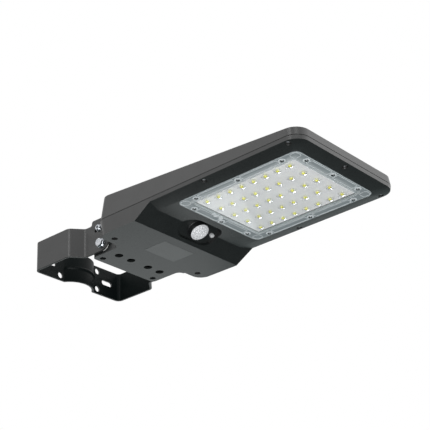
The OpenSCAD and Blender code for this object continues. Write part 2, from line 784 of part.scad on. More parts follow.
module pivot_spacers() color([0.85, 0.85, 0.83])
  both_sides(pivot_x, pivot_z) translate([0, 0, neck_half_w]) ring(9, pivot_r + 0.1, 1);

module pivot_inserts() color([0.78, 0.62, 0.30])
  both_sides(pivot_x, pivot_z) translate([0, 0, 44]) ring(5.45, pivot_r + 0.02, 11.9);

module lock_bolts() color([0.78, 0.78, 0.80])
  both_sides(lock_x, lock_z) {
    translate([0, 0, washer_y + 0.8]) difference() {
      cylinder(h = 2.6, r = 4.4);
      translate([0, 0, 1.1]) cylinder(h = 5, r = 2, $fn = 6);
    }
    translate([0, 0, 44]) cylinder(h = washer_y + 0.9 - 44, r = lock_r);
  }

module lock_washers() color([0.80, 0.80, 0.82])
  both_sides(lock_x, lock_z) translate([0, 0, washer_y]) ring(4.8, lock_r + 0.1, 0.8);

module lock_inserts() color([0.78, 0.62, 0.30])
  both_sides(lock_x, lock_z) translate([0, 0, 44]) ring(4.15, lock_r + 0.02, 11.9);

// ---- assembly ------------------------------------------------------------

mount_bracket();
upper_housing();
lower_housing();
housing_seal();
case_screws();
rear_case_screws();
solar_glass();
solar_cells();
panel_backsheet();
panel_seal();
lens_plate();
lens_gasket();
lens_screws();
led_board();
led_chips();
heat_spreader();
spreader_screws();
pir_bezel();
pir_lens();
pir_sensor();
sensor_board();
sensor_screws();
button_switch();
mode_button();
battery_cells();
cell_tabs();
battery_cradle();
battery_pad();
control_board();
board_parts();
board_screws();
led_leads();
battery_leads();
panel_leads();
label_plate();
pivot_bolts();
pivot_washers();
pivot_spring_washers();
pivot_spacers();
pivot_inserts();
lock_bolts();
lock_washers();
lock_inserts();
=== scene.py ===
import math

import bmesh
import bpy
from mathutils import Matrix, Vector
from mathutils.geometry import intersect_point_line


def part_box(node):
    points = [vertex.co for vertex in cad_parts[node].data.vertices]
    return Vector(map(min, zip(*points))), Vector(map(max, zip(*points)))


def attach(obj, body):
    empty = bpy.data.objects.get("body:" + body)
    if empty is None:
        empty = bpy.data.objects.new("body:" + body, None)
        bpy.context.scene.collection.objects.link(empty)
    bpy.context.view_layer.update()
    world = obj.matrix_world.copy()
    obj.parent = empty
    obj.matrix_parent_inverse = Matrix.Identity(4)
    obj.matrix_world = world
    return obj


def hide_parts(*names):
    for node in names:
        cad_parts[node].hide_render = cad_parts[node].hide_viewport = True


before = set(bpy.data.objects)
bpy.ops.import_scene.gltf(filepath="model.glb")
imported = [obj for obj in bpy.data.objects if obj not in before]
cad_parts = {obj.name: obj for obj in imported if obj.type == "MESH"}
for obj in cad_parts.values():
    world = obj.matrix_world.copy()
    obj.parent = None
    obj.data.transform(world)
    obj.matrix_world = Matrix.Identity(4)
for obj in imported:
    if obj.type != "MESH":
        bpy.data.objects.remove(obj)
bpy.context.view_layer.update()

# ---- sizes, in metres -----------------------------------------------------

MM = 0.001

# bracket strip
SHEET = 3 * MM
STRIP_HALF = 20 * MM
ARM_Y = 76.2 * MM            # middle of the arm's sheet
EAR_Y = 58.8 * MM            # middle of the ear's sheet
JOG_X = (63.45 * MM, 77.15 * MM)
EAR_TOP = 26.4 * MM
EAR_TOP_X = 89.6 * MM
SADDLE_R = 31.5 * MM         # middle of the saddle's sheet
SADDLE_X = -16.5 * MM        # centre of the saddle's curve
TILT_SLOT = (23.7 * MM, 2.6 * MM, 100.5, 15)   # radius, half width, middle angle, half travel

PLASTIC_IOR = 1.6

# sensor face
SLOPE_START = Vector((0.200, 0, -0.023))
SLOPE_ANGLE = math.atan2(16, 27)

# panel
PANEL_TILT = math.atan2(24, 313.9)


# ---- mesh helpers -----------------------------------------------------------

def add_object(name, mesh):
    """Puts a mesh in the scene as a new object."""
    obj = bpy.data.objects.new(name, mesh)
    bpy.context.scene.collection.objects.link(obj)
    return obj


def shade(obj, angle=32):
    """Smooth shading, split where the surface turns by more than an angle."""
    mesh = obj.data
    mesh.polygons.foreach_set("use_smooth", [True] * len(mesh.polygons))
    mesh.set_sharp_from_angle(angle=math.radians(angle))
    mesh.update()


def from_bmesh(name, bm, angle=32):
    mesh = bpy.data.meshes.new(name)
    bmesh.ops.recalc_face_normals(bm, faces=bm.faces)
    bm.to_mesh(mesh)
    bm.free()
    obj = add_object(name, mesh)
    shade(obj, angle)
    return obj


def applied(obj):
    """Replaces an object's mesh by the result of its modifiers."""
    depsgraph = bpy.context.evaluated_depsgraph_get()
    mesh = bpy.data.meshes.new_from_object(obj.evaluated_get(depsgraph))
    obj.modifiers.clear()
    obj.data = mesh
    return obj


def delete(obj):
    bpy.data.objects.remove(obj)


def boolean(obj, cutter, operation="DIFFERENCE"):
    """Cuts one mesh with another and removes the cutter."""
    modifier = obj.modifiers.new("cut", "BOOLEAN")
    modifier.operation = operation
    modifier.solver = "EXACT"
    modifier.use_self = True
    modifier.object = cutter
    applied(obj)
    delete(cutter)
    return obj


def lathe(name, profile, steps=48):
    """Turns a list of (radius, height) points about Z into a closed solid."""
    bm = bmesh.new()
    rings = []
    for radius, height in profile:
        if radius < 1e-7:
            rings.append([bm.verts.new((0, 0, height))])
            continue
        ring = []
        for k in range(steps):
            angle = 2 * math.pi * k / steps
            ring.append(bm.verts.new((radius * math.cos(angle), radius * math.sin(angle), height)))
        rings.append(ring)
    for low, high in zip(rings, rings[1:]):
        for k in range(steps):
            n = (k + 1) % steps
            corners = [low[k % len(low)], low[n % len(low)], high[n % len(high)], high[k % len(high)]]
            corners = list(dict.fromkeys(corners))
            if len(corners) > 2:
                bm.faces.new(corners)
    return from_bmesh(name, bm)


def prism(name, outline, z0, z1, taper=1.0):
    """Straight or tapered prism on an outline."""
    bm = bmesh.new()
    low = [bm.verts.new((x * taper, y * taper, z0)) for x, y in outline]
    high = [bm.verts.new((x, y, z1)) for x, y in outline]
    bm.faces.new(low)
    bm.faces.new(high)
    for k in range(len(outline)):
        n = (k + 1) % len(outline)
        bm.faces.new((low[k], low[n], high[n], high[k]))
    return from_bmesh(name, bm)


def polygon(radius, sides, turn=0.0):
    return [(radius * math.cos(turn + 2 * math.pi * k / sides),
             radius * math.sin(turn + 2 * math.pi * k / sides)) for k in range(sides)]


def arc(cx, cy, radius, start, end, steps):
    """Points along an arc, angles in degrees."""
    points = []
    for k in range(steps + 1):
        angle = math.radians(start + (end - start) * k / steps)
        points.append((cx + radius * math.cos(angle), cy + radius * math.sin(angle)))
    return points


def rounded_rectangle(cx, cy, half_x, half_y, radius, steps=8):
    points = []
    for sx, sy, start in ((1, 1, 0), (-1, 1, 90), (-1, -1, 180), (1, -1, 270)):
        points += arc(cx + sx * (half_x - radius), cy + sy * (half_y - radius), radius,
                      start, start + 90, steps)
    return points


def slab(name, outlines, thickness, edge):
    """Flat plate from an outline and its holes, in the XY plane about Z = 0, with rounded edges."""
    curve = bpy.data.curves.new(name, "CURVE")
    curve.dimensions = "2D"
    curve.fill_mode = "BOTH"
    curve.extrude = (thickness / 2 - edge) / MM
    curve.bevel_depth = edge / MM
    curve.bevel_resolution = 2
    curve.offset = -edge / MM
    for outline in outlines:
        spline = curve.splines.new("POLY")
        spline.points.add(len(outline) - 1)
        for point, (x, y) in zip(spline.points, outline):
            point.co = (x / MM, y / MM, 0, 1)
        spline.use_cyclic_u = True
    holder = add_object(name, curve)
    depsgraph = bpy.context.evaluated_depsgraph_get()
    mesh = bpy.data.meshes.new_from_object(holder.evaluated_get(depsgraph))
    delete(holder)
    mesh.transform(Matrix.Scale(MM, 4))
    bm = bmesh.new()
    bm.from_mesh(mesh)
    bmesh.ops.remove_doubles(bm, verts=bm.verts, dist=2e-6)
    bm.to_mesh(mesh)
    bm.free()
    obj = add_object(name, mesh)
    shade(obj)
    return obj


def placed_copies(name, template, matrices):
    """One object holding a copy of a template mesh at each matrix."""
    bm = bmesh.new()
    for matrix in matrices:
        part = template.data.copy()
        part.transform(matrix)
        if matrix.determinant() < 0:
            part.flip_normals()
        bm.from_mesh(part)
        bpy.data.meshes.remove(part)
    mesh = bpy.data.meshes.new(name)
    for material in template.data.materials:
        mesh.materials.append(material)
    bm.to_mesh(mesh)
    bm.free()
    delete(template)
    obj = add_object(name, mesh)
    shade(obj)
    return obj


def coated(objects, slot):
    """Gives loose parts a material before they are joined."""
    for obj in objects:
        obj.data.materials.clear()
        obj.data.materials.append(MATERIALS[slot])
        obj.data.polygons.foreach_set("material_index", [0] * len(obj.data.polygons))
    return objects


def joined(name, objects):
    """Joins objects into one, keeping each one's materials."""
    bm = bmesh.new()
    mesh = bpy.data.meshes.new(name)
    for obj in objects:
        obj.data.transform(obj.matrix_world)
        start = len(mesh.materials)
        for material in obj.data.materials:
            mesh.materials.append(material)
        before = len(bm.faces)
        bm.from_mesh(obj.data)
        bm.faces.ensure_lookup_table()
        for face in bm.faces[before:]:
            face.material_index += start
        delete(obj)
    bm.to_mesh(mesh)
    bm.free()
    result = add_object(name, mesh)
    shade(result)
    return result


def flat_faces(obj):
    """Leans the smooth shading towards the large faces, so that flat stretches look flat."""
    weighted = obj.modifiers.new("normals", "WEIGHTED_NORMAL")
    weighted.mode = "FACE_AREA"
    weighted.weight = 100
    weighted.keep_sharp = True
    return applied(obj)


def refined(node, edge, merge=0.03 * MM, segments=2, angle=28):
    """Copy of a CAD node with its flat faces cleaned up and its sharp edges rounded."""
    bm = bmesh.new()
    bm.from_mesh(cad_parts[node].data)
    bmesh.ops.remove_doubles(bm, verts=bm.verts, dist=merge)
    bmesh.ops.dissolve_degenerate(bm, edges=bm.edges, dist=merge)
    bmesh.ops.dissolve_limit(bm, angle_limit=math.radians(0.8), verts=bm.verts, edges=bm.edges)
    mesh = bpy.data.meshes.new(node + "_finished")
    bm.to_mesh(mesh)
    bm.free()
    obj = add_object(node + "_finished", mesh)
    bevel = obj.modifiers.new("edges", "BEVEL")
    bevel.limit_method = "ANGLE"
    bevel.angle_limit = math.radians(angle)
    bevel.width = edge
    bevel.segments = segments
    bevel.use_clamp_overlap = True
    applied(obj)
    shade(obj, 46)
    return flat_faces(obj)


# ---- material helpers ---------------------------------------------------------

def new_material(name):
    material = bpy.data.materials.new(name)
    material.use_nodes = True
    tree = material.node_tree
    shader = tree.nodes["Principled BSDF"]
    return material, tree, shader


def link(tree, output, target):
    tree.links.new(output, target)


def coordinates(tree, scale=(1, 1, 1), turn=(0, 0, 0)):
    """The piece's own coordinates, which move with it."""
    source = tree.nodes.new("ShaderNodeTexCoord")
    mapping = tree.nodes.new("ShaderNodeMapping")
    mapping.inputs["Scale"].default_value = scale
    mapping.inputs["Rotation"].default_value = turn
    link(tree, source.outputs["Object"], mapping.inputs["Vector"])
    return mapping.outputs["Vector"]


def noise(tree, vector, scale, detail=3, roughness=0.55):
    node = tree.nodes.new("ShaderNodeTexNoise")
    node.inputs["Scale"].default_value = scale
    node.inputs["Detail"].default_value = detail
    node.inputs["Roughness"].default_value = roughness
    link(tree, vector, node.inputs["Vector"])
    return node.outputs["Fac"]


def ramp(tree, value, stops):
    """Colour ramp from (position, colour) stops."""
    node = tree.nodes.new("ShaderNodeValToRGB")
    elements = node.color_ramp.elements
    while len(elements) < len(stops):
        elements.new(0.5)
    for element, (position, colour) in zip(elements, stops):
        element.position = position
        element.color = (*colour, 1)
    link(tree, value, node.inputs["Fac"])
    return node.outputs["Color"]


def spread(tree, value, low, high, from_low=0.3, from_high=0.7):
    node = tree.nodes.new("ShaderNodeMapRange")
    node.inputs["From Min"].default_value = from_low
    node.inputs["From Max"].default_value = from_high
    node.inputs["To Min"].default_value = low
    node.inputs["To Max"].default_value = high
    link(tree, value, node.inputs["Value"])
    return node.outputs["Result"]


def bump(tree, height, distance, strength=1.0):
    node = tree.nodes.new("ShaderNodeBump")
    node.inputs["Strength"].default_value = strength
    node.inputs["Distance"].default_value = distance
    link(tree, height, node.inputs["Height"])
    return node.outputs["Normal"]


def tinted(colour, factor):
    return tuple(min(1.0, c * factor) for c in colour)


def grained(name, colour, rough, grain_size, grain_depth, mottle=0.10, gloss=0.5):
    """Moulded, painted or cast surface: fine grain, faint mottling and uneven gloss."""
    material, tree, shader = new_material(name)
    vector = coordinates(tree)
    cloud = noise(tree, vector, 45, detail=4)
    grain = noise(tree, vector, 1 / grain_size, detail=2, roughness=0.7)
    colours = ramp(tree, cloud, ((0.3, tinted(colour, 1 - mottle)), (0.7, tinted(colour, 1 + mottle))))
    link(tree, colours, shader.inputs["Base Color"])
    link(tree, spread(tree, grain, rough - 0.05, rough + 0.05), shader.inputs["Roughness"])
    link(tree, bump(tree, grain, grain_depth), shader.inputs["Normal"])
    shader.inputs["IOR"].default_value = PLASTIC_IOR
    shader.inputs["Specular IOR Level"].default_value = gloss
    return material


def brushed_metal(name, colour, rough):
    """Plated steel with fine turning marks and small dull patches."""
    material, tree, shader = new_material(name)
    vector = coordinates(tree)
    patches = noise(tree, vector, 260, detail=4)
    lines = noise(tree, coordinates(tree, scale=(1, 9, 1)), 900, detail=1)
    colours = ramp(tree, patches, ((0.35, tinted(colour, 0.82)), (0.65, colour)))
    link(tree, colours, shader.inputs["Base Color"])
    link(tree, spread(tree, patches, rough + 0.12, rough - 0.04), shader.inputs["Roughness"])
    link(tree, bump(tree, lines, 0.01 * MM), shader.inputs["Normal"])
    shader.inputs["Metallic"].default_value = 1.0
    return material


def clear_pane(name, ior, haze, colour=(0.80, 0.84, 0.85), metallic=1.0):
    """Clear moulding seen as its reflections and a little haze over what lies behind it."""
    material, tree, shader = new_material(name)
    vector = coordinates(tree)
    ripple = noise(tree, vector, 60, detail=2)
    normal = bump(tree, ripple, 0.02 * MM)
    link(tree, normal, shader.inputs["Normal"])
    link(tree, spread(tree, ripple, 0.06, 0.12), shader.inputs["Roughness"])
    fresnel = tree.nodes.new("ShaderNodeFresnel")
    fresnel.inputs["IOR"].default_value = ior
    link(tree, normal, fresnel.inputs["Normal"])
    cover = tree.nodes.new("ShaderNodeMath")
    cover.operation = "ADD"
    cover.use_clamp = True
    cover.inputs[1].default_value = haze
    link(tree, fresnel.outputs["Fac"], cover.inputs[0])
    # only the faces turned to the light count, so a thick moulding isn't covered twice
    geometry = tree.nodes.new("ShaderNodeNewGeometry")
    front = tree.nodes.new("ShaderNodeMath")
    front.operation = "SUBTRACT"
    front.inputs[0].default_value = 1.0
    link(tree, geometry.outputs["Backfacing"], front.inputs[1])
    share = tree.nodes.new("ShaderNodeMath")
    share.operation = "MULTIPLY"
    link(tree, cover.outputs["Value"], share.inputs[0])
    link(tree, front.outputs["Value"], share.inputs[1])
    link(tree, share.outputs["Value"], shader.inputs["Alpha"])
    shader.inputs["Base Color"].default_value = (*colour, 1)
    shader.inputs["Metallic"].default_value = metallic
    return material


def cell_silicon(name):
    """Dark blue silicon with fine printed fingers across each cell."""
    material, tree, shader = new_material(name)
    vector = coordinates(tree)
    crystals = tree.nodes.new("ShaderNodeTexVoronoi")
    crystals.inputs["Scale"].default_value = 160
    link(tree, vector, crystals.inputs["Vector"])
    tone = ramp(tree, crystals.outputs["Distance"],
                ((0.0, (0.006, 0.012, 0.045)), (0.9, (0.012, 0.028, 0.095))))
    wave = tree.nodes.new("ShaderNodeTexWave")
    wave.bands_direction = "X"
    wave.inputs["Scale"].default_value = 130
    link(tree, vector, wave.inputs["Vector"])
    fingers = ramp(tree, wave.outputs["Fac"], ((0.90, (0, 0, 0)), (0.97, (1, 1, 1))))
    mix = tree.nodes.new("ShaderNodeMix")
    mix.data_type = "RGBA"
    mix.inputs["B"].default_value = (0.30, 0.32, 0.36, 1)
    link(tree, fingers, mix.inputs["Factor"])
    link(tree, tone, mix.inputs["A"])
    link(tree, mix.outputs["Result"], shader.inputs["Base Color"])
    shader.inputs["Roughness"].default_value = 0.28
    return material


def circuit_board(name, colour):
    """Solder mask with faint tracks under it."""
    material, tree, shader = new_material(name)
    vector = coordinates(tree)
    brick = tree.nodes.new("ShaderNodeTexBrick")
    brick.inputs["Scale"].default_value = 140
    brick.inputs["Mortar Size"].default_value = 0.02
    brick.inputs["Color1"].default_value = (*colour, 1)
    brick.inputs["Color2"].default_value = (*tinted(colour, 1.15), 1)
    brick.inputs["Mortar"].default_value = (*tinted(colour, 0.7), 1)
    link(tree, vector, brick.inputs["Vector"])
    link(tree, brick.outputs["Color"], shader.inputs["Base Color"])
    link(tree, bump(tree, brick.outputs["Fac"], 0.02 * MM), shader.inputs["Normal"])
    shader.inputs["Roughness"].default_value = 0.35
    return material


MATERIALS = {
    # darker, duller copy of the bracket coat: painted shade for the bracket's inner faces, which really
    # share the one coat
    "bracket_inside_painted_shade": grained("bracket_inside_painted_shade", (0.004, 0.006, 0.006), 0.45, 0.9 * MM, 0.03 * MM,
                              gloss=0.06),
    "bracket_coat": grained("bracket_coat", (0.030, 0.030, 0.030), 0.40, 0.9 * MM, 0.03 * MM),
    "upper_shell": grained("upper_shell", (0.030, 0.030, 0.030), 0.33, 0.7 * MM, 0.025 * MM),
    # darker, slightly green-blue copy of the shell material: painted shade for the housing's downward faces
    "lower_shell": grained("lower_shell", (0.014, 0.016, 0.016), 0.30, 0.7 * MM, 0.025 * MM),
    "seal_rubber": grained("seal_rubber", (0.010, 0.010, 0.010), 0.7, 0.5 * MM, 0.02 * MM),
    "screw_steel": brushed_metal("screw_steel", (0.38, 0.39, 0.40), 0.25),
    "bolt_steel": brushed_metal("bolt_steel", (0.55, 0.57, 0.60), 0.18),
    "panel_glass": clear_pane("panel_glass", 1.5, 0.02),
    "silicon": cell_silicon("silicon"),
    "backsheet": grained("backsheet", (0.75, 0.75, 0.75), 0.5, 0.5 * MM, 0.01 * MM, mottle=0.03),
    "clear_pc": clear_pane("clear_pc", 1.55, 0.03),
    "clear_pc_frame": clear_pane("clear_pc_frame", 1.6, 0.50, (0.42, 0.47, 0.49), metallic=0.0),
    # pale haze for pads, ribs and blisters, and a painted edge highlight on the plate's rim line
    "clear_pc_edge": clear_pane("clear_pc_edge", 1.6, 0.75, (0.72, 0.76, 0.78), metallic=0.0),
    # near-white haze for the rings round the LED lenses: a painted reflection drawn as a bright halo
    "clear_pc_painted_halo": clear_pane("clear_pc_painted_halo", 1.6, 0.60, (0.97, 0.97, 0.98), metallic=0.0),
    "white_silicone": grained("white_silicone", (0.72, 0.72, 0.71), 0.6, 0.8 * MM, 0.01 * MM, mottle=0.03),
    # brighter copy of the screw steel: painted highlight so the case screws read bright in their dark
    # recesses
    "screw_steel_painted_bright": brushed_metal("screw_steel_painted_bright", (0.85, 0.86, 0.88), 0.30),
    "white_board": grained("white_board", (0.93, 0.93, 0.94), 0.4, 1.2 * MM, 0.01 * MM, mottle=0.04),
    "phosphor": grained("phosphor", (1.0, 0.92, 0.13), 0.5, 0.4 * MM, 0.01 * MM, mottle=0.08),
    "spreader_alu": brushed_metal("spreader_alu", (0.72, 0.73, 0.74), 0.35),
    "bezel_black": grained("bezel_black", (0.014, 0.015, 0.016), 0.28, 0.5 * MM, 0.01 * MM),
    "fresnel_white": grained("fresnel_white", (0.66, 0.66, 0.68), 0.25, 0.8 * MM, 0.05 * MM,
                             mottle=0.10),
    "sensor_can": brushed_metal("sensor_can", (0.7, 0.7, 0.66), 0.3),
    "green_board": circuit_board("green_board", (0.012, 0.10, 0.035)),
    "part_black": grained("part_black", (0.012, 0.012, 0.013), 0.45, 0.6 * MM, 0.02 * MM),
    "button_white": grained("button_white", (0.55, 0.55, 0.56), 0.35, 0.6 * MM, 0.01 * MM, mottle=0.03),
    "cell_wrap": grained("cell_wrap", (0.02, 0.08, 0.30), 0.3, 0.8 * MM, 0.01 * MM, mottle=0.06),
    "nickel": brushed_metal("nickel", (0.66, 0.64, 0.58), 0.3),
    "foam": grained("foam", (0.03, 0.03, 0.034), 0.9, 1.0 * MM, 0.3 * MM),
    "wire_red": grained("wire_red", (0.45, 0.01, 0.008), 0.4, 0.6 * MM, 0.01 * MM),
    "wire_black": grained("wire_black", (0.01, 0.01, 0.01), 0.4, 0.6 * MM, 0.01 * MM),
    "label_film": grained("label_film", (0.095, 0.099, 0.099), 0.38, 0.5 * MM, 0.01 * MM, mottle=0.06),
    "nylon": grained("nylon", (0.62, 0.62, 0.60), 0.45, 0.7 * MM, 0.01 * MM, mottle=0.04),
    "insert_brass": brushed_metal("insert_brass", (0.62, 0.44, 0.17), 0.3),
}


def finish_piece(obj, slot, body, replaces=None, keep_materials=False):
    """Gives a new piece its material, from a slot name, and its body, and hides the CAD node it replaces."""
    if not keep_materials:
        obj.data.materials.clear()
        obj.data.materials.append(MATERIALS[slot])
        obj.data.polygons.foreach_set("material_index", [0] * len(obj.data.polygons))
    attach(obj, body)
    if replaces:
        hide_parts(replaces)
    return obj


# ---- bracket --------------------------------------------------------------------

def rounded_path(corners, steps=8):
    """Polyline through (x, y, corner radius) points, with each corner turned into an arc."""
    path = [Vector(corners[0][:2])]
    for before, here, after in zip(corners, corners[1:], corners[2:]):
        point = Vector(here[:2])
        radius = here[2]
        if radius == 0:
            path.append(point)
            continue
        back = (Vector(before[:2]) - point).normalized()
        ahead = (Vector(after[:2]) - point).normalized()
        half = back.angle(ahead) / 2
        centre = point + (back + ahead).normalized() * (radius / math.sin(half))
        start = point + back * (radius / math.tan(half)) - centre
        turn = start.angle_signed(point + ahead * (radius / math.tan(half)) - centre)
        for k in range(steps + 1):
            path.append(centre + Matrix.Rotation(-turn * k / steps, 2) @ start)
    path.append(Vector(corners[-1][:2]))
    return path


class StripPath:
    """Middle line of the bent strip, seen from above."""

    def __init__(self, points):
        self.points = points
        self.places = [0.0]
        for a, b in zip(points, points[1:]):
            self.places.append(self.places[-1] + (b - a).length)
        self.length = self.places[-1]
        self.sides = []
        for k in range(len(points)):
            ahead = points[min(k + 1, len(points) - 1)] - points[max(k - 1, 0)]
            ahead.normalize()
            self.sides.append(Vector((-ahead.y, ahead.x)))

    def at(self, place, offset):
        """Point at a distance along the strip and an offset to its outer side."""
        place = min(max(place, 0.0), self.length)
        k = 0
        while k < len(self.places) - 2 and self.places[k + 1] < place:
            k += 1
        share = (place - self.places[k]) / (self.places[k + 1] - self.places[k])
        side = self.sides[k].lerp(self.sides[k + 1], share).normalized()
        return self.points[k].lerp(self.points[k + 1], share) + side * offset

    def nearest(self, x, y):
        """Distance along the strip of the point nearest to a place."""
        target = Vector((x, y))
        best = None
        for k, (a, b) in enumerate(zip(self.points, self.points[1:])):
            foot, share = intersect_point_line(target, a, b)
            share = min(max(share, 0.0), 1.0)
            gap = (a.lerp(b, share) - target).length
            if best is None or gap < best[0]:
                best = (gap, self.places[k] + share * (b - a).length)
        return best[1]


def bracket_path():
    low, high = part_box("mount_bracket")
    end_x = high.x
    plate_x = SHEET / 2
    saddle_end = math.degrees(math.acos((plate_x - SADDLE_X) / SADDLE_R))
    saddle = arc(SADDLE_X, 0, SADDLE_R, -saddle_end, saddle_end, 36)
    bend = 6.5 * MM
    jog_bend = 7 * MM
    crease = 2.6 * MM
    corners = [(end_x, -EAR_Y, 0), (JOG_X[1], -EAR_Y, jog_bend), (JOG_X[0], -ARM_Y, jog_bend),
               (plate_x, -ARM_Y, bend)]
    corners.append((*saddle[0], 1.0 * MM))
    corners += [(x, y, 0) for x, y in saddle[1:-1]]
    corners.append((*saddle[-1], 1.0 * MM))
    corners += [(plate_x, ARM_Y, bend), (JOG_X[0], ARM_Y, jog_bend), (JOG_X[1], EAR_Y, jog_bend),
                (end_x, EAR_Y, 0)]
    return StripPath(rounded_path(corners))


def ear_edge(length, mirrored):
    """Outline of one ear in the flat strip, from its foot to the strip's top edge."""
    step_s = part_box("mount_bracket")[1].x - EAR_TOP_X
    foot, top, neck = 15 * MM, 8 * MM, 2.6 * MM
    points = arc(foot, -STRIP_HALF + foot, foot, 270, 180, 12)
    points += arc(top, EAR_TOP - top, top, 180, 90, 8)
    points += arc(step_s - 3 * MM, EAR_TOP - 3 * MM, 3 * MM, 90, 0, 5)
    points += arc(step_s + neck, STRIP_HALF + neck, neck, 180, 270, 5)
    if mirrored:
        points = [(length - s, z) for s, z in reversed(points)]
    return points


def tilt_slot(centre_s, centre_z, direction):
    """Arc slot about the pivot; direction is +1 where the strip runs towards -X."""
    radius, half, middle, travel = TILT_SLOT
    outer = arc(0, 0, radius + half, middle - travel, middle + travel, 12)
    inner = arc(0, 0, radius - half, middle + travel, middle - travel, 12)
    far = math.radians(middle + travel)
    near = math.radians(middle - travel)
    far_end = arc(radius * math.cos(far), radius * math.sin(far), half,
                  middle + travel, middle + travel + 180, 8)
    near_end = arc(radius * math.cos(near), radius * math.sin(near), half,
                   middle - travel + 180, middle - travel + 360, 8)
    ring = outer + far_end[1:-1] + inner + near_end[1:-1]
    return [(centre_s - direction * x, centre_z + z) for x, z in ring]


def make_bracket():
    path = bracket_path()
    length = path.length
    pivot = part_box("pivot_bolts")
    pivot_x = (pivot[0].x + pivot[1].x) / 2
    pivot_z = (pivot[0].z + pivot[1].z) / 2
    end_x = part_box("mount_bracket")[1].x
    outline = ear_edge(length, False) + ear_edge(length, True)
    holes = []
    for direction, start in ((1, end_x - pivot_x), (-1, length - (end_x - pivot_x))):
        holes.append(arc(start, pivot_z, 3.06 * MM, 0, 345, 23))
        holes.append(tilt_slot(start, pivot_z, direction))
    for sign in (-1, 1):
        clamp_s = path.nearest(SHEET / 2, sign * 34 * MM)
        for z in (-13 * MM, 13 * MM):
            holes.append(arc(clamp_s, z, 4.25 * MM, 0, 345, 23))
        strap_s = path.nearest(SHEET / 2, sign * 52 * MM)
        reach = 6 * MM
        holes.append(arc(strap_s + reach, 0, 3.5 * MM, -90, 90, 12)
                     + arc(strap_s - reach, 0, 3.5 * MM, 90, 270, 12))
    obj = slab("mount_bracket_sheet", [outline] + holes, SHEET, 0.35 * MM)

    bm = bmesh.new()
    bm.from_mesh(obj.data)
    saddle_half = math.acos((SHEET / 2 - SADDLE_X) / SADDLE_R) * SADDLE_R
    for place, a, b in zip(path.places[1:-1], path.sides, path.sides[2:]):
        if a.angle(b) > math.radians(0.5):
            cut(bm, (place, 0, 0), (1, 0, 0))
    for step in range(-6, 7):
        cut(bm, (0, step * 0.5 * MM, 0), (0, 1, 0))
    bead_half = 3 * MM
    # faces on the strip's inner side get the darker inside coat, painted shade standing in for the shadow
    # within the bracket
    for face in bm.faces:
        face.material_index = 1 if face.normal.z < -0.7 else 0
    for vert in bm.verts:
        s, z, offset = vert.co
        along = abs(s - length / 2)
        if along < saddle_half and abs(z) < bead_half:
            fade = min(1.0, (saddle_half - along) / (5 * MM))
            offset -= 1.6 * MM * fade * math.cos(math.pi * z / (2 * bead_half)) ** 2
        x, y = path.at(s, offset)
        vert.co = (x, y, z)
    bmesh.ops.remove_doubles(bm, verts=bm.verts, dist=1e-6)
    bmesh.ops.recalc_face_normals(bm, faces=bm.faces)
    bm.to_mesh(obj.data)
    bm.free()
    shade(obj)
    obj.data.materials.append(MATERIALS["bracket_coat"])
    obj.data.materials.append(MATERIALS["bracket_inside_painted_shade"])
    return finish_piece(obj, "bracket_coat", "bracket", "mount_bracket", keep_materials=True)


def cut(bm, point, normal):
    """Adds a line of edges where a plane crosses the mesh."""
    bmesh.ops.bisect_plane(bm, geom=bm.verts[:] + bm.edges[:] + bm.faces[:], dist=1e-7,
                           plane_co=point, plane_no=normal)


make_bracket()

# ---- housing ----------------------------------------------------------------------

upper_housing = finish_piece(refined("upper_housing", 0.7 * MM), "upper_shell", "head", "upper_housing")


def make_lower_housing():
    """Lower shell in a darker, slightly green-blue copy of the shell material as painted shade, with the
    upper-shell material on the upright walls of its body.
    """
    obj = refined("lower_housing", 0.6 * MM)
    coated([obj], "lower_shell")
    obj.data.materials.append(MATERIALS["upper_shell"])
    body_start = 125 * MM
    # faces other than the body's upright walls keep the darker copy as painted shade; the upright walls take
    # the shell's own tone
    for face in obj.data.polygons:
        upright = abs(face.normal.z) < 0.3 and face.center.x > body_start
        face.material_index = 1 if upright else 0
    return finish_piece(obj, "lower_shell", "head", "lower_housing", keep_materials=True)


lower_housing = make_lower_housing()
finish_piece(refined("label_plate", 0.15 * MM), "label_film", "head", "label_plate")
solar_glass = finish_piece(refined("solar_glass", 0.5 * MM), "panel_glass", "head", "solar_glass")


# ---- screws and bolts ---------------------------------------------------------------

def cross_screw(name, radius, height, length, shank):
    """Pan-head screw with a cross recess; its head's top faces +Z at height zero."""
    dome = []
    for k in range(7):
        angle = math.pi / 2 * k / 6
        dome.append((radius * (0.72 + 0.28 * math.cos(angle)), -height * 0.55 * (1 - math.sin(angle))))
    profile = [(0, -length), (shank * 0.8, -length), (shank, -length + shank * 0.3),
               (shank, -height), (radius, -height)] + dome + [(0, 0)]
    screw = lathe(name, profile, 32)
    wide, narrow = radius * 0.56, radius * 0.15
    for turn in (0, 90):
        outline = [(-wide, -narrow), (wide, -narrow), (wide, narrow), (-wide, narrow)]
        cutter = prism("cross", outline, -height * 0.75, height * 0.2, taper=0.55)
        cutter.matrix_world = Matrix.Rotation(math.radians(turn + 20), 4, "Z")
        bpy.context.view_layer.update()
        boolean(screw, cutter)
    return screw


def facing(position, direction, turn=0.0):
    """Matrix that puts a template's +Z along a direction."""
    rotation = Vector(direction).to_track_quat("Z", "Y").to_matrix().to_4x4()
    return Matrix.Translation(position) @ rotation @ Matrix.Rotation(math.radians(turn), 4, "Z")


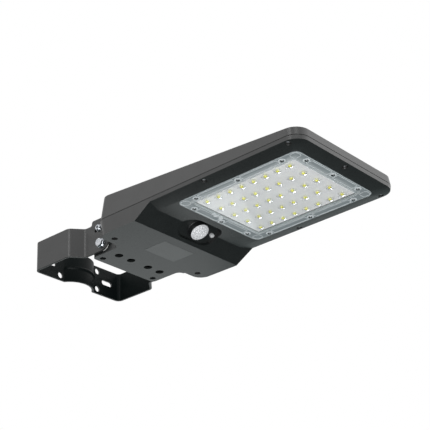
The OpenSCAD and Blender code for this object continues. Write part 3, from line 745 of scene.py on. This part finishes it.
def solid_boxes(node):
    """Low and high corners of the box of each separate solid of a CAD node, in a fixed order."""
    bm = bmesh.new()
    bm.from_mesh(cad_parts[node].data)
    bmesh.ops.remove_doubles(bm, verts=bm.verts, dist=1e-6)
    seen = set()
    boxes = []
    for first in bm.verts:
        if first.index in seen:
            continue
        stack = [first]
        seen.add(first.index)
        points = []
        while stack:
            vert = stack.pop()
            points.append(vert.co.copy())
            for edge in vert.link_edges:
                other = edge.other_vert(vert)
                if other.index not in seen:
                    seen.add(other.index)
                    stack.append(other)
        low = Vector([min(p[i] for p in points) for i in range(3)])
        high = Vector([max(p[i] for p in points) for i in range(3)])
        boxes.append((low, high))
    bm.free()
    boxes.sort(key=lambda b: (round(b[0].x, 5), round(b[0].y, 5), round(b[0].z, 5)))
    return boxes


def downward_screws(node, piece, radius, height, shank, material="screw_steel"):
    boxes = solid_boxes(node)
    length = boxes[0][1].z - boxes[0][0].z
    template = cross_screw(piece, radius, height, length, shank)
    matrices = []
    for k, (low, high) in enumerate(boxes):
        middle = (low + high) / 2
        matrices.append(facing((middle.x, middle.y, low.z), (0, 0, -1), turn=37 * k))
    obj = placed_copies(piece, template, matrices)
    coated([obj], material)
    return finish_piece(obj, "screw_steel", "head", node, keep_materials=True)


downward_screws("lens_screws", "lens_screw_set", 2.7 * MM, 1.5 * MM, 1.25 * MM)
# the case screws get the brighter steel copy, a painted highlight
downward_screws("case_screws", "case_screw_set", 2.9 * MM, 1.7 * MM, 1.45 * MM, "screw_steel_painted_bright")
downward_screws("rear_case_screws", "rear_case_screw_set", 3.4 * MM, 2.4 * MM, 1.45 * MM)


def hex_bolt(name, radius, height, length, shank):
    """Hex bolt with a chamfered head; the head's top is at height zero."""
    head = prism(name, polygon(radius, 6), -height, 0)
    dish = lathe("dish", [(0, -height - MM), (radius * 1.1, -height - MM), (radius * 1.1, -height * 0.28),
                          (radius * 0.84, 0), (radius * 0.62, 0), (radius * 0.56, -0.25 * MM),
                          (0, -0.25 * MM)])
    boolean(head, dish, "INTERSECT")
    flange = lathe("flange", [(0, -height - 0.02 * MM), (radius * 1.07, -height - 0.02 * MM),
                              (radius * 1.10, -height + 0.3 * MM), (radius * 1.04, -height + 0.9 * MM),
                              (radius * 0.8, -height + 1.5 * MM), (0, -height + 1.5 * MM)])
    boolean(head, flange, "UNION")
    rod = lathe("rod", [(0, -length), (shank * 0.85, -length), (shank, -length + 0.6 * MM),
                        (shank, -height + 0.5 * MM), (0, -height + 0.5 * MM)])
    boolean(head, rod, "UNION")
    return head


def socket_bolt(name, radius, height, length, shank):
    """Button-head bolt with a hex socket; the head's top is at height zero."""
    profile = [(0, -length), (shank * 0.85, -length), (shank, -length + 0.5 * MM), (shank, -height),
               (radius, -height), (radius, -height * 0.75)]
    for k in range(1, 8):
        angle = math.pi / 2 * k / 7
        profile.append((radius * (0.62 + 0.38 * math.cos(angle)), -height * 0.75 * (1 - math.sin(angle))))
    profile += [(radius * 0.54, -0.1 * MM), (0, -0.1 * MM)]
    bolt = lathe(name, profile)
    return boolean(bolt, prism("socket", polygon(radius * 0.46, 6), -height * 0.75, MM))


def side_bolts(node, piece, template):
    boxes = solid_boxes(node)
    matrices = []
    for low, high in boxes:
        middle = (low + high) / 2
        outward = 1 if middle.y > 0 else -1
        head_y = high.y if outward > 0 else low.y
        matrices.append(facing((middle.x, head_y, middle.z), (0, outward, 0), turn=11))
    obj = placed_copies(piece, template, matrices)
    return finish_piece(obj, "bolt_steel", "head", node)


def bolt_length(node):
    low, high = solid_boxes(node)[0]
    return high.y - low.y


side_bolts("pivot_bolts", "pivot_bolt_pair",
           hex_bolt("pivot_bolt_pair", 5.8 * MM, 3.6 * MM, bolt_length("pivot_bolts"), 3 * MM))
side_bolts("lock_bolts", "lock_bolt_pair",
           socket_bolt("lock_bolt_pair", 4.4 * MM, 2.6 * MM, bolt_length("lock_bolts"), 2.5 * MM))
finish_piece(refined("pivot_washers", 0.25 * MM), "bolt_steel", "head", "pivot_washers")
finish_piece(refined("pivot_spring_washers", 0.2 * MM), "bolt_steel", "head", "pivot_spring_washers")
finish_piece(refined("lock_washers", 0.2 * MM), "bolt_steel", "head", "lock_washers")


# ---- lens plate and LEDs -------------------------------------------------------------

def sphere_cap(name, base, height, steps=36, rings=8):
    """Dome standing on Z = 0 with its top at the given height."""
    radius = (base * base + height * height) / (2 * height)
    reach = math.asin(base / radius)
    profile = [(0, 0.02 * MM), (base, 0.02 * MM)]
    for k in range(1, rings + 1):
        angle = reach * (1 - k / rings)
        profile.append((radius * math.sin(angle), radius * math.cos(angle) - radius + height))
    profile[-1] = (0, height)
    return lathe(name, profile, steps)


def rib_loop(name, outline, z, width):
    """Raised rounded line that follows an outline on the plate's outer face."""
    curve = bpy.data.curves.new(name, "CURVE")
    curve.dimensions = "3D"
    curve.bevel_depth = width / 2
    curve.bevel_resolution = 2
    spline = curve.splines.new("POLY")
    spline.points.add(len(outline) - 1)
    for point, (x, y) in zip(spline.points, outline):
        point.co = (x, y, z, 1)
    spline.use_cyclic_u = True
    holder = add_object(name, curve)
    depsgraph = bpy.context.evaluated_depsgraph_get()
    mesh = bpy.data.meshes.new_from_object(holder.evaluated_get(depsgraph))
    delete(holder)
    return add_object(name, mesh)


def make_lens_plate():
    low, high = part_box("lens_plate")
    screws = solid_boxes("lens_screws")
    chips = solid_boxes("led_chips")
    centre_x, centre_y = (low.x + high.x) / 2, 0.0
    half_x, half_y = (high.x - low.x) / 2, (high.y - low.y) / 2
    face = low.z + 2 * MM                # the domes stand 2 mm proud of the plate
    thickness = high.z - face
    outline = rounded_rectangle(centre_x, centre_y, half_x, half_y, 9 * MM)
    spots = [((a.x + b.x) / 2, (a.y + b.y) / 2) for a, b in screws]
    holes = [arc(x, y, 1.6 * MM, 0, 330, 11) for x, y in spots]
    opening = rounded_rectangle(centre_x, centre_y, half_x - 15 * MM, half_y - 15 * MM, 4 * MM)
    plate = slab("lens_plate_sheet", [outline, opening] + holes, thickness, 0.45 * MM)
    plate.matrix_world = Matrix.Translation((0, 0, face + thickness / 2))
    bpy.context.view_layer.update()

    frames = [plate]
    parts = []
    edges = []
    window = rounded_rectangle(centre_x, centre_y, half_x - 14.2 * MM, half_y - 14.2 * MM, 4.6 * MM)
    step = slab("window", [window], 1.6 * MM, 0.5 * MM)
    step.matrix_world = Matrix.Translation((0, 0, face))
    bpy.context.view_layer.update()
    parts.append(step)
    # shallow trays between the screws, outlined by raised lines
    xs = sorted({round(x, 5) for x, y in spots if abs(y) > half_y - 10 * MM})
    ys = sorted({round(y, 5) for x, y in spots if abs(x - centre_x) > half_x - 10 * MM})
    gap, depth = 5.6 * MM, 4.4 * MM
    for side in (-1, 1):
        for a, b in zip(xs, xs[1:]):
            box = rounded_rectangle((a + b) / 2, side * (half_y - 6.4 * MM), (b - a) / 2 - gap, depth,
                                    1.2 * MM, 4)
            edges.append(rib_loop("tray", box, face, 0.7 * MM))
        for a, b in zip(ys, ys[1:]):
            box = rounded_rectangle(centre_x + side * (half_x - 6.4 * MM), (a + b) / 2, depth,
                                    (b - a) / 2 - gap, 1.2 * MM, 4)
            edges.append(rib_loop("tray", box, face, 0.7 * MM))
        for end in (-1, 1):
            x = centre_x + end * (half_x - 8 * MM)
            y = side * (half_y - 8 * MM)
            box = rounded_rectangle(x, y, 5.6 * MM, 5.6 * MM, 4.2 * MM, 5)
            edges.append(rib_loop("tray", box, face, 0.6 * MM))
    # round pads under the screw heads
    for x, y in spots:
        pad = lathe("pad", [(1.7 * MM, 0), (4.3 * MM, 0), (4.3 * MM, 0.35 * MM), (3.7 * MM, 0.6 * MM),
                            (1.7 * MM, 0.6 * MM), (1.7 * MM, 0)], 28)
        pad.matrix_world = facing((x, y, face), (0, 0, -1))
        bpy.context.view_layer.update()
        edges.append(pad)
    # the rim line in pale edge haze is a painted edge highlight along the plate's outer edge
    edges.append(rib_loop("rim", rounded_rectangle(centre_x, centre_y, half_x - 0.3 * MM, half_y - 0.3 * MM,
                                                   8.7 * MM), face + 0.25 * MM, 0.5 * MM))
    edges.append(rib_loop("step", window, face - 0.75 * MM, 0.4 * MM))
    dome = sphere_cap("dome", 5 * MM, 2 * MM)
    spots = [facing(((a.x + b.x) / 2, (a.y + b.y) / 2, face), (0, 0, -1)) for a, b in chips]
    domes = placed_copies("lens_domes", dome, spots)
    # thin ring round each dome in near-white haze: painted reflection of the light on the lens edge
    ring = lathe("ring", [(4.5 * MM, 0), (5.2 * MM, 0), (5.1 * MM, 0.25 * MM), (4.8 * MM, 0.4 * MM),
                          (4.5 * MM, 0.25 * MM), (4.5 * MM, 0)], 28)
    rings = placed_copies("rings", ring, spots)
    # bumps over the wires' way in
    for dx, dy, radius in ((0, 0, 3.4 * MM), (2 * MM, 6 * MM, 2.6 * MM), (-1 * MM, 10 * MM, 3.0 * MM),
                           (1 * MM, -6 * MM, 2.8 * MM)):
        blister = sphere_cap("blister", radius, 1.0 * MM)
        blister.matrix_world = facing((low.x + 11 * MM + dx, -16 * MM + dy, face), (0, 0, -1))
        bpy.context.view_layer.update()
        edges.append(blister)
    coated(frames, "clear_pc_frame")
    coated(parts, "clear_pc")
    coated(edges, "clear_pc_edge")
    coated([rings], "clear_pc_painted_halo")
    obj = joined("lens_plate_moulding", frames + parts + edges + [rings])
    finish_piece(obj, "clear_pc", "head", "lens_plate", keep_materials=True)
    return finish_piece(domes, "clear_pc", "head")


def make_led_chips():
    """White packages, each with a yellow dome of phosphor that fills the cavity of its lens."""
    boxes = solid_boxes("led_chips")
    low, high = boxes[0]
    half = (high.x - low.x) / 2
    tall = high.z - low.z
    body = slab("package", [rounded_rectangle(0, 0, half, half, 0.4 * MM, 3)], tall, 0.12 * MM)
    body.data.materials.append(MATERIALS["white_board"])
    glow = sphere_cap("phosphor", half * 1.35, 2.3 * MM, 20, 6)
    glow.data.materials.append(MATERIALS["phosphor"])
    glow.matrix_world = facing((0, 0, -tall / 2), (0, 0, -1))
    bpy.context.view_layer.update()
    template = joined("led_package", [body, glow])
    spots = [Matrix.Translation((a + b) / 2) for a, b in boxes]
    obj = placed_copies("led_package_set", template, spots)
    return finish_piece(obj, "phosphor", "head", "led_chips", keep_materials=True)


def make_led_board():
    obj = refined("led_board", 0.3 * MM)
    obj.name = "led_board_finished"
    return finish_piece(obj, "white_board", "head", "led_board")


lens_domes = make_lens_plate()
make_led_chips()
make_led_board()


# ---- motion sensor and button ------------------------------------------------------------

def slope_matrix(along, sideways, height):
    """Frame on the sensor face: X sideways, Y up the slope, Z outwards."""
    up = Vector((math.cos(SLOPE_ANGLE), 0, math.sin(SLOPE_ANGLE)))
    out = Vector((math.sin(SLOPE_ANGLE), 0, -math.cos(SLOPE_ANGLE)))
    side = up.cross(out)
    place = SLOPE_START + up * along + Vector((0, sideways, 0)) + out * height
    rotation = Matrix((side, up, out)).transposed().to_4x4()
    return Matrix.Translation(place) @ rotation


def make_fresnel_lens():
    """Sensor dome with rings of small lenses."""
    base, rim, height = 12 * MM, 10.6 * MM, 2.4 * MM
    rows, columns = 44, 144
    rings = ((0.0, 3.0 * MM, 1), (3.0 * MM, 6.8 * MM, 8), (6.8 * MM, rim, 14))
    radius = (base * base + height * height) / (2 * height)
    bm = bmesh.new()
    top = bm.verts.new((0, 0, height))
    last = None
    for i in range(1, rows + 1):
        r = base * i / rows
        ring = []
        for k in range(columns):
            angle = 2 * math.pi * k / columns
            z = math.sqrt(radius * radius - r * r) - radius + height
            for inner, outer, count in rings:
                if inner < r <= outer:
                    across = (r - inner) / (outer - inner) * 2 - 1 if count > 1 else r / outer
                    around = (angle * count / (2 * math.pi) % 1) * 2 - 1 if count > 1 else 0
                    bulge = 1 - min(1.0, across ** 2 + around ** 2 * 0.9)
                    z += 1.05 * MM * bulge - 0.45 * MM
            ring.append(bm.verts.new((r * math.cos(angle), r * math.sin(angle), z)))
        for k in range(columns):
            n = (k + 1) % columns
            if last is None:
                bm.faces.new((top, ring[k], ring[n]))
            else:
                bm.faces.new((last[k], ring[k], ring[n], last[n]))
        last = ring
    for z, r in ((-0.5 * MM, base), (-0.5 * MM, base * 0.5)):
        ring = [bm.verts.new((x, y, z)) for x, y in polygon(r, columns)]
        for k in range(columns):
            n = (k + 1) % columns
            bm.faces.new((last[k], ring[k], ring[n], last[n]))
        last = ring
    bm.faces.new(last)
    obj = from_bmesh("motion_lens", bm, angle=60)
    obj.data.transform(slope_matrix(22.7 * MM, 0, 2.8 * MM))
    return finish_piece(obj, "fresnel_white", "head", "pir_lens")


def make_mode_button():
    """Small domed button with a rim and its flange behind the wall."""
    r = 3 * MM
    wall_top = 5.0 * MM
    profile = [(0, -0.9 * MM), (r + 0.9 * MM, -0.9 * MM), (r + 0.9 * MM, -0.35 * MM), (r, -0.3 * MM),
               (r, wall_top), (r - 0.12 * MM, wall_top + 0.2 * MM), (r - 0.5 * MM, wall_top + 0.35 * MM)]
    for k in range(1, 8):
        angle = math.pi / 2 * k / 7
        profile.append(((r - 0.5 * MM) * math.cos(angle), wall_top + 0.35 * MM + 1.1 * MM * math.sin(angle)))
    profile[-1] = (0, wall_top + 1.45 * MM)
    obj = lathe("mode_button_cap", profile, 40)
    obj.data.transform(slope_matrix(22.7 * MM, 27 * MM, -7.5 * MM))
    return finish_piece(obj, "button_white", "button", "mode_button")


make_fresnel_lens()
make_mode_button()
finish_piece(refined("pir_bezel", 0.35 * MM), "bezel_black", "head", "pir_bezel")


# ---- solar panel ---------------------------------------------------------------------------

def make_busbars():
    """Two silver ribbons over each row of cells."""
    cells = solid_boxes("solar_cells")
    rows = sorted({round((a.y + b.y) / 2, 4) for a, b in cells})
    start = cells[0][0]
    run = max(b.x for a, b in cells) - start.x
    width = cells[0][1].y - cells[0][0].y
    top_rear = max(b.z for a, b in cells)
    bars = []
    for y in rows:
        for share in (-0.25, 0.25):
            outline = rounded_rectangle(run / 2 / math.cos(PANEL_TILT), y + share * width,
                                        run / 2 / math.cos(PANEL_TILT), 0.7 * MM, 0.2 * MM, 2)
            bars.append(slab("ribbon", [outline], 0.12 * MM, 0.03 * MM))
    obj = joined("cell_ribbons", bars)
    lift = Matrix.Translation((start.x, 0, top_rear + 0.03 * MM))
    obj.data.transform(lift @ Matrix.Rotation(PANEL_TILT, 4, "Y"))
    return finish_piece(obj, "nickel", "head")


make_busbars()

# ---- CAD nodes that keep their shape ---------------------------------------------------------

KEPT = {
    "housing_seal": "seal_rubber", "solar_cells": "silicon", "panel_backsheet": "backsheet",
    "panel_seal": "seal_rubber", "lens_gasket": "white_silicone", "heat_spreader": "spreader_alu",
    "spreader_screws": "screw_steel", "pir_sensor": "sensor_can", "sensor_board": "green_board",
    "sensor_screws": "screw_steel", "button_switch": "part_black", "battery_cells": "cell_wrap",
    "cell_tabs": "nickel", "battery_cradle": "part_black", "battery_pad": "foam",
    "control_board": "green_board", "board_parts": "part_black", "board_screws": "screw_steel",
    "led_leads": "wire_red", "battery_leads": "wire_red", "panel_leads": "wire_black",
    "pivot_spacers": "nylon", "pivot_inserts": "insert_brass", "lock_inserts": "insert_brass",
}

for node, slot in KEPT.items():
    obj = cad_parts[node]
    obj.data.materials.clear()
    obj.data.materials.append(MATERIALS[slot])

# ---- floor, light and camera --------------------------------------------------------------------

def make_floor():
    """Plain pale studio floor well below the lamp."""
    bm = bmesh.new()
    bmesh.ops.create_grid(bm, x_segments=8, y_segments=8, size=6)
    floor = from_bmesh("floor", bm)
    floor.location = (0.2, 0, -1.7)
    paint = grained("floor_paint", (0.82, 0.82, 0.81), 0.7, 4 * MM, 0.1 * MM, mottle=0.01)
    floor.data.materials.append(paint)
    floor.visible_diffuse = False
    floor.visible_glossy = False
    floor.visible_transmission = False


def make_world():
    """Surroundings that are bright at the horizon and darker towards the floor, white to the camera."""
    world = bpy.data.worlds.new("studio")
    bpy.context.scene.world = world
    world.use_nodes = True
    tree = world.node_tree
    background = tree.nodes["Background"]
    source = tree.nodes.new("ShaderNodeTexCoord")
    parts = tree.nodes.new("ShaderNodeSeparateXYZ")
    link(tree, source.outputs["Generated"], parts.inputs["Vector"])
    height = spread(tree, parts.outputs["Z"], 0, 1, from_low=-1, from_high=1)
    glow = ramp(tree, height, ((0.0, (0.02, 0.024, 0.024)), (0.20, (0.03, 0.036, 0.036)),
                               (0.25, (0.12, 0.15, 0.15)), (0.32, (0.26, 0.32, 0.32)),
                               (0.46, (0.50, 0.55, 0.55)), (0.54, (1.0, 1.0, 1.0)),
                               (0.66, (0.86, 0.86, 0.86)), (0.76, (0.66, 0.66, 0.66)),
                               (1.0, (0.62, 0.62, 0.62))))
    # a brighter side in front of the lamp
    ahead = tree.nodes.new("ShaderNodeVectorMath")
    ahead.operation = "DOT_PRODUCT"
    ahead.inputs[1].default_value = (0.58, 0.69, 0.44)
    link(tree, source.outputs["Generated"], ahead.inputs[0])
    extra = spread(tree, ahead.outputs["Value"], 0.0, 1.1, from_low=0.5, from_high=0.95)
    lift = tree.nodes.new("ShaderNodeMath")
    lift.operation = "ADD"
    lift.inputs[1].default_value = 1.0
    link(tree, extra, lift.inputs[0])
    scaled = tree.nodes.new("ShaderNodeVectorMath")
    scaled.operation = "SCALE"
    link(tree, glow, scaled.inputs[0])
    link(tree, lift.outputs["Value"], scaled.inputs["Scale"])
    paths = tree.nodes.new("ShaderNodeLightPath")
    mix = tree.nodes.new("ShaderNodeMix")
    mix.data_type = "RGBA"
    mix.inputs["B"].default_value = (1, 1, 1, 1)
    link(tree, paths.outputs["Is Camera Ray"], mix.inputs["Factor"])
    link(tree, scaled.outputs["Vector"], mix.inputs["A"])
    link(tree, mix.outputs["Result"], background.inputs["Color"])


def area_light(name, position, aim, size, power):
    data = bpy.data.lights.new(name, "AREA")
    data.shape = "RECTANGLE"
    data.size, data.size_y = size
    data.energy = power
    light = bpy.data.objects.new(name, data)
    bpy.context.scene.collection.objects.link(light)
    light.location = position
    light.rotation_euler = (Vector(aim) - Vector(position)).to_track_quat("-Z", "Y").to_euler()
    light.visible_camera = False
    return light


def link_light(light, objects, state):
    """Makes a light fall only on some objects, or on all but them."""
    group = bpy.data.collections.new(light.name + "_receivers")
    light.light_linking.receiver_collection = group
    for obj in objects:
        group.objects.link(obj)
    for entry in group.collection_objects:
        entry.light_linking.link_state = state


def make_camera():
    """Camera below the lamp, looking up at its underside."""
    aim = Vector((0.2469, 0, 0.0011))
    back = Vector((0.5763, -0.6876, -0.4416))
    distance = 1.571
    roll = math.radians(-2.62)
    data = bpy.data.cameras.new("camera")
    data.sensor_width = 36
    data.lens = 105.8
    data.clip_start, data.clip_end = 0.01, 50
    camera = bpy.data.objects.new("camera", data)
    bpy.context.scene.collection.objects.link(camera)
    camera.location = aim + back.normalized() * distance
    turn = (-back).to_track_quat("-Z", "Y").to_matrix().to_4x4() @ Matrix.Rotation(roll, 4, "Z")
    camera.rotation_euler = turn.to_euler()
    bpy.context.scene.camera = camera


make_floor()
make_world()
key = area_light("key", (-0.9, -1.6, 1.3), (0.15, 0, 0), (1.2, 0.9), 2)
strip = area_light("strip", (0.5, -1.9, 0.95), (0.1, 0, 0), (0.3, 1.2), 8)
area_light("low_fill", (0.83, -0.63, -1.15), (0.34, 0, 0), (0.9, 0.9), 17.5)
area_light("rear_card", (-0.44, 0.56, -0.36), (0.10, 0.01, -0.02), (0.38, 0.34), 0.25)
corner = area_light("corner", (1.5, -1.0, 0.8), (0.3, 0, 0), (0.5, 0.9), 4)
# glints on the LED lenses only
sparkle = area_light("sparkle", (0.236, 0.877, -0.812), (0.34, 0, 0), (0.62, 0.62), 20)
link_light(sparkle, [lens_domes], "INCLUDE")
# no glare of the wall lights on the panel's glass
link_light(strip, [solar_glass], "EXCLUDE")
link_light(key, [solar_glass], "EXCLUDE")
link_light(corner, [upper_housing, lower_housing], "INCLUDE")
make_camera()
bpy.context.scene.view_settings.view_transform = "Standard"
